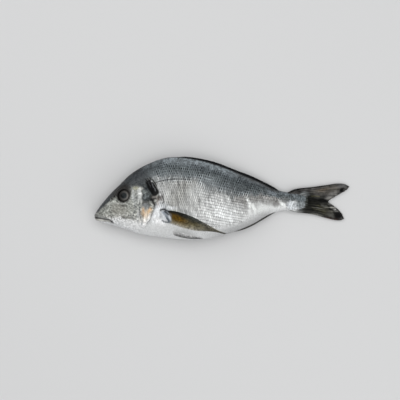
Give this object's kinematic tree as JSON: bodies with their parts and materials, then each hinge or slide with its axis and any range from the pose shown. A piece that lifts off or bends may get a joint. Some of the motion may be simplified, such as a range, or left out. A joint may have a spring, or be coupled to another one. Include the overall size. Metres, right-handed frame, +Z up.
{
  "type": "whole raw sea bream",
  "caption": "Whole raw gilt-head bream, silver with a dark back and a black shoulder blotch, its fins folded, lying on its right flank.",
  "frame": {"origin": "middle of the bounding box's underside, on the surface that the fish lies on", "axes": "+X from the snout to the tail, +Y from the belly to the back, +Z up, out of the left flank"},
  "size_m": [0.2752, 0.0892, 0.0361],
  "materials": {
    "skin": "wet silvery scaled skin, dark on the back and pale on the belly",
    "fin": "wet olive-brown fin membrane with rays",
    "eye": "wet dark grey-blue eye with a lighter ring"
  },
  "bodies": {
    "root": {"fish": "skin", "eye_left": "eye", "eye_right": "eye"}
  },
  "joints": []
}
